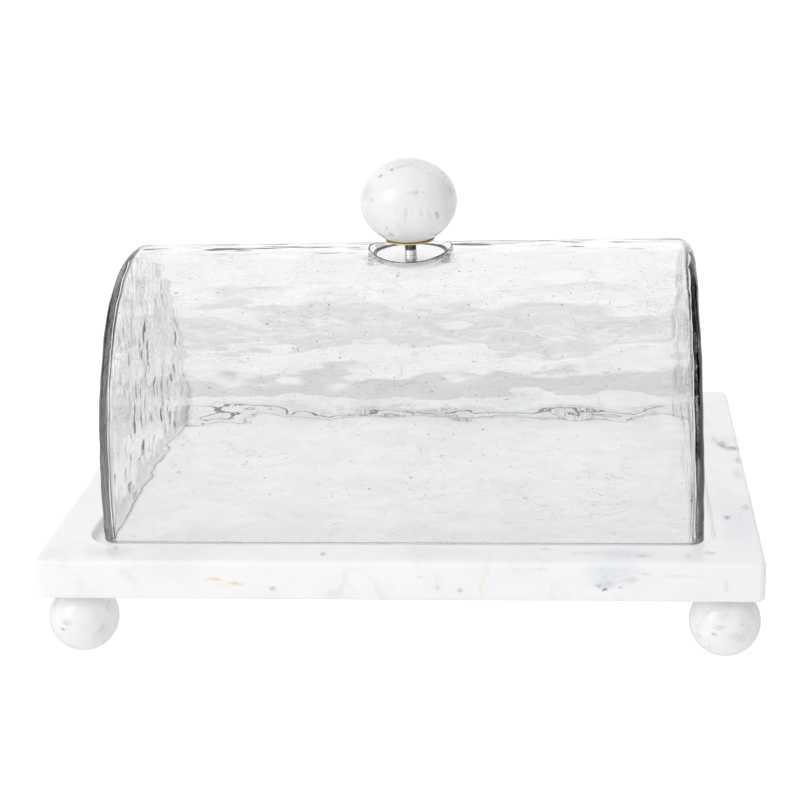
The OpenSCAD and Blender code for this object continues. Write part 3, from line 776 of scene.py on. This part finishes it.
def bent_disc():
    segments = 144
    t = DISC_T / 2
    radii = [2.2, 3, 5, 8, 11, 13, 14, 14.6, 15, 15.3, 15.6, 15.9, 16.2, 16.6, 17, 17.4, 17.8]
    half = [(r * MM, -1.0, -1.0) for r in radii]
    half.append((DISC_R - t, -1.0, -1.0))
    rim = [(DISC_R - t + t * math.sin(a), -math.cos(a), 0) for a in [math.pi * i / 8 for i in range(1, 8)]]
    prof = half + rim + [(r, 1.0, 1.0) for r, _, _ in reversed(half)]
    verts, faces = [], []
    for r, side, _ in prof:
        for k in range(segments):
            a = 2 * math.pi * k / segments
            x, y = r * math.cos(a), r * math.sin(a)
            z = float(turned_up(x, y, z_disc, DISC_FLAT, 0.33 * MM)) - t + side * t
            verts.append((k_x + x, y, z))
    n = len(prof)
    for i in range(n):
        j = (i + 1) % n
        for k in range(segments):
            m = (k + 1) % segments
            faces.append((i * segments + k, i * segments + m, j * segments + m, j * segments + k))
    return verts, faces


v, f = bent_disc()
mesh_object("chrome_disc", v, f, disc_metal(), "dome", ["knob_disc"], angle=70)

lo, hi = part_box("neck_sleeve")
z0, z1 = lo.z, hi.z
prof = [(2.2 * MM, z0), (2.55 * MM, z0)] + arc(2.55 * MM, z0 + 0.15 * MM, 0.15 * MM, -90, 0, 4)[1:]
prof += [(2.7 * MM, z0 + h * MM) for h in (0.6, 1.1, 1.6, 2.1)]
prof += arc(2.45 * MM, z0 + 2.15 * MM, 0.25 * MM, 0, 80, 5)
prof += [(2.5 * MM, z0 + 2.4 * MM + (z1 - z0 - 2.4 * MM) * f) for f in (0.02, 0.3, 0.6, 0.9)]
prof += arc(2.35 * MM, z1 - 0.15 * MM, 0.15 * MM, 0, 90, 4) + [(2.2 * MM, z1)]
v, f = lathe(prof, (k_x, 0), 64)
mesh_object("neck_collar", v, f, neck_metal(z0 + 2.4 * MM), "dome", ["neck_sleeve"], angle=40)

lo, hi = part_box("brass_washer")
R, q = (hi.x - lo.x) / 2, 0.28 * MM
prof = [(2.2 * MM, lo.z), (R * 0.5, lo.z), (R - q * 1.4, lo.z)] + arc(R - q, lo.z + q, q, -90, 0, 6)
prof += arc(R - q, hi.z - q, q, 0, 90, 6) + [(R - q * 1.4, hi.z), (R * 0.5, hi.z), (2.2 * MM, hi.z)]
v, f = lathe(prof, (k_x, 0), 128)
mesh_object("brass_ring", v, f, brass, "dome", ["brass_washer"], angle=50)

for name, material in (
    ("foot_ferrules", dark), ("foot_studs", steel), ("outer_gasket", silicone), ("screw_sleeve", silicone),
    ("inner_gasket", silicone), ("inner_washer", steel), ("knob_screw", steel), ("knob_insert", brass),
):
    obj = nodes[name]
    obj.data.materials.clear()
    obj.data.materials.append(material)

# ---------------------------------------------------------------- glass cover

RINGS_CAP, RINGS_EDGE, RINGS_VAULT, ARCH_POINTS = 33, 7, 154, 181
RIM_R = 0.6 * MM
DRAFT = math.tan(math.radians(0.9))


def arch_ring(a, b, z_foot):
    """One arch, front foot to back foot, evenly spaced along its length."""
    t = np.linspace(math.pi, 0, 1200)
    y = a * np.sign(np.cos(t)) * np.abs(np.cos(t)) ** (2 / ARCH_N)
    z = z_top + b * np.abs(np.sin(t)) ** (2 / ARCH_N)
    y = np.concatenate([[-a], y, [a]])
    z = np.concatenate([[z_foot], z, [z_foot]])
    s = np.concatenate([[0], np.cumsum(np.hypot(np.diff(y), np.diff(z)))])
    # closer together over the crown, where the seat of the disc is
    u = np.linspace(-1, 1, ARCH_POINTS)
    u = 0.62 * u + 0.38 * np.sign(u) * np.abs(u) ** 3
    want = s[-1] * (0.5 + 0.5 * u)
    return np.stack([np.interp(want, s, y), np.interp(want, s, z)], 1)


def skin_points(wall, edge):
    """The grid of points of one skin of the cover, wall inside the outer one."""
    L = g_hi.x - wall
    a, b = g_hi.y - wall, z_crown - z_top - wall
    z_foot = z_rim + RIM_R
    grid = []
    full = arch_ring(a - edge, b - edge, z_foot)
    centre = np.array([0, z_foot])
    left = []
    for k in range(1, RINGS_CAP + 1):
        s = (k / RINGS_CAP) ** 0.85
        ring = centre + (full - centre) * s
        left.append((-L, ring))
    for k in range(1, RINGS_EDGE + 1):
        th = math.radians(90 * (1 - k / RINGS_EDGE))
        d = edge * (1 - math.cos(th))
        ring = arch_ring(a - d, b - d, z_foot)
        left.append((-(L - edge + edge * math.sin(th)), ring))
    middle = []
    for k in range(1, RINGS_VAULT):
        u = 2 * k / RINGS_VAULT - 1
        # rings closer together near the seat of the disc
        u = 0.55 * u + 0.45 * abs(u) ** 2.6 * math.copysign(1, u)
        middle.append((k_x * (1 - u * u) + (L - edge) * u, arch_ring(a, b, z_foot)))
    right = [(-x, r) for x, r in reversed(left)]
    for x, ring in left + middle + right:
        pts = np.empty((ARCH_POINTS, 3))
        pts[:, 1:] = ring
        pts[:, 0] = x * (1 - (ring[:, 1] - z_rim) * DRAFT / g_hi.x)
        grid.append(pts)
    return np.array(grid)


def grid_normals(P):
    du = np.gradient(P, axis=0)
    dv = np.gradient(P, axis=1)
    n = np.cross(dv, du)
    return n / np.maximum(np.linalg.norm(n, axis=2, keepdims=True), 1e-12)


def ripples(P, seed):
    """How far the hammered surface stands off the smooth one, in millimetres."""
    p = P.reshape(-1, 3) / MM
    warp = np.stack([lattice(p / 38.0 + 7.7 * i, seed + 31 + i) for i in range(3)], 1)
    p = p + warp * np.array([10.0, 9.0, 9.0])
    broad = lattice(p / np.array([46.0, 24.0, 24.0]), seed)
    wave = lattice(p / np.array([26.0, 9.5, 9.5]), seed + 1)
    small = lattice(p / np.array([12.0, 5.5, 5.5]), seed + 2)
    end = smooth(g_hi.x / MM - 14, g_hi.x / MM - 5, np.abs(P.reshape(-1, 3)[:, 0] / MM))
    # the end walls are hammered in larger, rounder dents
    h = 0.34 * broad + 0.27 * wave * (1 + 0.5 * end) + 0.085 * small * (1 - 0.55 * end)
    return h.reshape(P.shape[:2])


def opening_cutter():
    """The flared opening of the crown: straight below, opening out with the disc above."""
    segments = 96
    rows = [(0.0, z_disc - 12 * MM, True), (HOLE_R, z_disc - 12 * MM, True), (HOLE_R, z_disc - 0.9 * MM, True)]
    rows += [(r * MM, -0.9 * MM, False) for r in (15.6, 16.0, 16.5, 17.2, 18.0, 19.0, 20.5, 22.0)]
    rows += [(22 * MM, z_crown + 12 * MM, True), (0.0, z_crown + 12 * MM, True)]
    verts, faces, loops = [], [], []
    for r, z, fixed in rows:
        if r == 0.0:
            loops.append([len(verts)])
            verts.append((k_x, 0, z))
            continue
        loops.append(list(range(len(verts), len(verts) + segments)))
        for k in range(segments):
            a = 2 * math.pi * k / segments
            x, y = r * math.cos(a), r * math.sin(a)
            verts.append((k_x + x, y, z if fixed else float(turned_up(x, y, z_disc, DISC_FLAT, 0.33 * MM)) + z))
    for low, high in zip(loops, loops[1:]):
        for k in range(segments):
            m = (k + 1) % segments
            if len(low) == 1:
                faces.append((low[0], high[m], high[k]))
            elif len(high) == 1:
                faces.append((low[k], low[m], high[0]))
            else:
                faces += [(low[k], low[m], high[m]), (low[k], high[m], high[k])]
    mesh = bpy.data.meshes.new("cutter")
    mesh.from_pydata(verts, [], faces)
    bm = bmesh.new()
    bm.from_mesh(mesh)
    bmesh.ops.recalc_face_normals(bm, faces=bm.faces)
    bm.to_mesh(mesh)
    bm.free()
    obj = bpy.data.objects.new("cutter", mesh)
    scene.collection.objects.link(obj)
    return obj


def build_glass(material):
    skins = []
    for wall, edge, r_calm, seed in ((0.0, 7.0 * MM, 17.5 * MM, 11), (WALL, 2.5 * MM, 16 * MM, 57)):
        P = skin_points(wall, edge)
        N = grid_normals(P)
        if N[len(N) // 2, ARCH_POINTS // 2, 2] < 0:
            N = -N
        h = ripples(P, seed)
        # the foot, and the edge of the opening, are plain
        h = h * smooth(z_rim, z_rim + 6 * MM, P[:, :, 2])
        on_top = P[:, :, 2] > z_top + 60 * MM
        r = np.hypot(P[:, :, 0] - k_x, P[:, :, 1])
        h = h * np.where(on_top, smooth(r_calm, r_calm + 7 * MM, r), 1.0)
        P = P + N * (h * MM)[:, :, None]
        skins.append(P)
    n_r, n_p = skins[0].shape[:2]
    verts, faces = [], []
    first = []
    poles = []
    for P in skins:
        first.append(len(verts))
        verts += [tuple(p) for p in P.reshape(-1, 3)]
        poles.append(len(verts))
        for ring in (P[0], P[-1]):
            verts.append((float(ring[:, 0][0]), 0.0, z_rim + RIM_R))
    for k, P in enumerate(skins):
        o = first[k]
        for i in range(n_r - 1):
            for j in range(n_p - 1):
                faces.append((o + i * n_p + j, o + i * n_p + j + 1, o + (i + 1) * n_p + j + 1, o + (i + 1) * n_p + j))
        for pole, row in ((poles[k], 0), (poles[k] + 1, n_r - 1)):
            for j in range(n_p - 1):
                a, b = o + row * n_p + j, o + row * n_p + j + 1
                faces.append((pole, a, b) if row == 0 else (pole, b, a))
    # the fire-polished foot: a rounded strip that joins the skins
    def loop_of(k):
        o = first[k]
        front = [o + i * n_p for i in range(n_r)]
        back = [o + i * n_p + n_p - 1 for i in range(n_r - 1, -1, -1)]
        return front + [poles[k] + 1] + back + [poles[k]]

    outer, inner = loop_of(0), loop_of(1)
    vo = np.array([verts[i] for i in outer])
    vi = np.array([verts[i] for i in inner])
    across = vi - vo
    across[:, 2] = 0
    across /= np.linalg.norm(across, axis=1, keepdims=True)
    rows = [outer]
    steps = 5
    for side, base_pts, sign in ((0, vo, 1), (1, vi, -1)):
        for q in range(1, steps + 1) if side == 0 else range(steps, 0, -1):
            th = math.radians(90 * q / steps)
            pts = base_pts + sign * across * (RIM_R * (1 - math.cos(th)))
            pts = pts.copy()
            pts[:, 2] = z_rim + RIM_R * (1 - math.sin(th))
            rows.append(list(range(len(verts), len(verts) + len(pts))))
            verts += [tuple(p) for p in pts]
    rows.append(inner)
    m = len(outer)
    for a, b in zip(rows, rows[1:]):
        for i in range(m):
            j = (i + 1) % m
            faces.append((a[i], a[j], b[j], b[i]))
    obj = mesh_object("glass_cover", verts, faces, material, "dome", ["glass_dome"])
    subtract(obj, [opening_cutter()])
    # seed bubbles: small voids in the wall, their faces turned to the air inside
    balls = []
    for level in (1, 2):
        ball = bmesh.new()
        bmesh.ops.create_icosphere(ball, subdivisions=level, radius=1.0)
        balls.append((np.array([v.co[:] for v in ball.verts]), [[v.index for v in f.verts][::-1] for f in ball.faces]))
        ball.free()
    rs = np.random.RandomState(2024)
    mesh = obj.data
    base_v = np.empty(len(mesh.vertices) * 3)
    mesh.vertices.foreach_get("co", base_v)
    all_v = [base_v.reshape(-1, 3)]
    all_f = [tuple(p.vertices) for p in mesh.polygons]
    count = len(mesh.vertices)
    made = 0
    while made < 600:
        i = rs.randint(3, n_r - 3)
        front = rs.rand() < 0.7
        j = rs.randint(6, n_p // 2) if front else rs.randint(n_p // 2, n_p - 6)
        share = rs.uniform(0.3, 0.7)
        c = skins[0][i, j] * (1 - share) + skins[1][i, j] * share
        if abs(c[0]) > g_hi.x - 2.0 * MM or math.hypot(c[0] - k_x, c[1]) < 24 * MM and c[2] > z_top + 80 * MM:
            continue
        if front and rs.rand() < (c[2] - z_top) / (230 * MM):
            continue
        large = rs.rand() < 0.14
        bv, bf = balls[1 if large else 0]
        r = rs.uniform(0.17, 0.32) * MM * (1.5 if large else 1.0)
        stretch = np.array([rs.uniform(1.0, 1.7), 1.0, 1.0])
        all_v.append(c + bv * r * stretch)
        all_f += [tuple(count + x for x in f) for f in bf]
        count += len(bv)
        made += 1
    new = bpy.data.meshes.new("glass_cover")
    new.from_pydata([tuple(p) for p in np.concatenate(all_v)], [], all_f)
    for p in new.polygons:
        p.use_smooth = True
    new.materials.append(material)
    new.set_sharp_from_angle(angle=math.radians(60))
    obj.data = new
    return obj


glass = make_glass()
cover = build_glass(glass)

# ---------------------------------------------------------------- floor, world, lights, camera

FLOOR_HALF = 6.5
floor_mesh = bpy.data.meshes.new("floor")
bm = bmesh.new()
bmesh.ops.create_grid(bm, x_segments=8, y_segments=8, size=FLOOR_HALF)
bm.to_mesh(floor_mesh)
bm.free()
floor = bpy.data.objects.new("floor", floor_mesh)
scene.collection.objects.link(floor)
m = Net("pale_floor")
pos = m.node("ShaderNodeNewGeometry").outputs["Position"]
# painted shade: grey bands round the object, with rounded corners, seen by rays that are neither camera nor diffuse
# rays, as through the glass
p4 = m.vec("MULTIPLY", pos, pos)
p4 = m.vec("MULTIPLY", p4, p4)
px, py, _ = m.node("ShaderNodeSeparateXYZ", {"Vector": p4}).outputs
dist = m.math("POWER", m.math("ADD", px, py), 0.25)
ramp = m.node("ShaderNodeValToRGB", {"Fac": m.line(dist, 0.0, 1.0)})
stops = (
    (0.0, 0.65), (0.20, 0.65), (0.268, 0.72), (0.282, 0.92), (0.325, 0.94), (0.337, 0.77), (0.36, 0.80), (0.372, 0.90),
    (0.40, 0.80), (0.455, 0.84), (0.468, 0.95), (0.50, 0.90), (0.515, 1.0), (1.0, 1.0),
)
while len(ramp.color_ramp.elements) < len(stops):
    ramp.color_ramp.elements.new(0.5)
for e, (p, v) in zip(ramp.color_ramp.elements, stops):
    e.position = p
    e.color = (v, v, v, 1)
path = m.node("ShaderNodeLightPath")
diffuse = m.node("ShaderNodeBsdfDiffuse", {"Color": rgb(0.35, 0.35, 0.35)})
table = m.node("ShaderNodeEmission", {"Color": rgb(0.88, 0.88, 0.88), "Strength": 1.0})
direct = m.node("ShaderNodeAddShader", {0: diffuse.outputs[0], 1: table.outputs[0]})
painted_floor_shade = m.node("ShaderNodeEmission", {"Color": ramp.outputs[0], "Strength": 1.0})
lifting = m.node("ShaderNodeEmission", {"Color": rgb(1, 1, 1), "Strength": 1.0})
others = m.node("ShaderNodeMixShader", {0: path.outputs["Is Diffuse Ray"], 1: painted_floor_shade.outputs[0], 2: lifting.outputs[0]})
shown = m.node("ShaderNodeMixShader", {0: path.outputs["Is Camera Ray"], 1: others.outputs[0], 2: direct.outputs[0]})
floor_mesh.materials.append(m.finish(shown.outputs[0]))

world = bpy.data.worlds.new("studio")
scene.world = world
world.use_nodes = True
w = Net("studio", world.node_tree)
d = w.node("ShaderNodeTexCoord").outputs["Generated"]
sep = w.node("ShaderNodeSeparateXYZ", {"Vector": d})
x, y, z = sep.outputs
turn = w.math("DIVIDE", w.math("ARCTAN2", x, w.math("MULTIPLY", y, -1.0)), 2 * math.pi)  # 0 front, 0.25 right, -0.25 left
turn = w.math("ADD", turn, 0.5)  # 0 back, 0.25 left, 0.5 front, 0.75 right, 1 back


def ring_ramp(stops):
    r = w.node("ShaderNodeValToRGB", {"Fac": turn})
    while len(r.color_ramp.elements) < len(stops):
        r.color_ramp.elements.new(0.5)
    for e, (p, v) in zip(r.color_ramp.elements, stops):
        e.position = p
        e.color = (v, v, v, 1)
    return r.outputs[0]


low = ring_ramp((
    (0.0, 1.0), (0.12, 1.0), (0.15, 0.03), (0.225, 0.03), (0.25, 0.85), (0.45, 1.0), (0.62, 0.85), (0.66, 0.04), (0.70, 0.04), (0.72, 0.9),
    (0.745, 0.9), (0.76, 0.03), (0.80, 0.03), (0.815, 0.9), (0.835, 0.9), (0.85, 0.03), (0.885, 0.03), (0.90, 1.0), (1.0, 1.0),
))
high = ring_ramp(((0.0, 1.0), (0.12, 0.9), (0.25, 0.8), (0.40, 1.0), (0.55, 0.9), (0.70, 0.35), (0.80, 0.25), (0.9, 0.8), (1.0, 1.0)))
sky = w.mix(w.step(z, 0.12, 0.5), low, high)
sky = w.mix(w.step(z, 0.55, 0.9), sky, rgb(0.95, 0.95, 0.95))
seen = w.node("ShaderNodeLightPath").outputs["Is Camera Ray"]
sky = w.mix(seen, sky, rgb(1, 1, 1))
bg = w.node("ShaderNodeBackground", {"Color": sky, "Strength": 1.05})
out = w.node("ShaderNodeOutputWorld")
w.t.links.new(bg.outputs[0], out.inputs["Surface"])


def area_light(name, place, target, size, power, size_y=None):
    data = bpy.data.lights.new(name, "AREA")
    data.energy = power
    data.shape = "RECTANGLE"
    data.size = size
    data.size_y = size_y or size
    obj = bpy.data.objects.new(name, data)
    obj.location = place
    direction = Vector(target) - Vector(place)
    obj.rotation_euler = direction.to_track_quat("-Z", "Y").to_euler()
    scene.collection.objects.link(obj)
    obj.visible_camera = False
    return obj


area_light("softbox_left", (-1.3, -1.2, 1.2), (0, 0, 0.08), 1.0, 7.5, 1.2)

cam_data = bpy.data.cameras.new("camera")
cam = bpy.data.objects.new("camera", cam_data)
scene.collection.objects.link(cam)
pitch, yaw, roll = math.radians(20.411), math.radians(-5.344), math.radians(-2.118)
fwd = Vector((math.sin(yaw) * math.cos(pitch), math.cos(yaw) * math.cos(pitch), -math.sin(pitch)))
right = Vector((math.cos(yaw), -math.sin(yaw), 0))
up = right.cross(fwd)
r2 = math.cos(roll) * right + math.sin(roll) * up
u2 = -math.sin(roll) * right + math.cos(roll) * up
basis = Matrix((r2, u2, -fwd)).transposed().to_4x4()
cam.matrix_world = Matrix.Translation((0.07930, -0.71035, 0.34689)) @ basis
cam_data.sensor_width = 36.0
cam_data.lens = 74.25
cam_data.shift_x = -0.05
cam_data.clip_end = 50.0
scene.camera = cam

scene.view_settings.view_transform = "Standard"
scene.view_settings.look = "None"
scene.cycles.max_bounces = 20
scene.cycles.transmission_bounces = 16
scene.cycles.glossy_bounces = 8
scene.cycles.diffuse_bounces = 4
scene.cycles.use_denoising = True
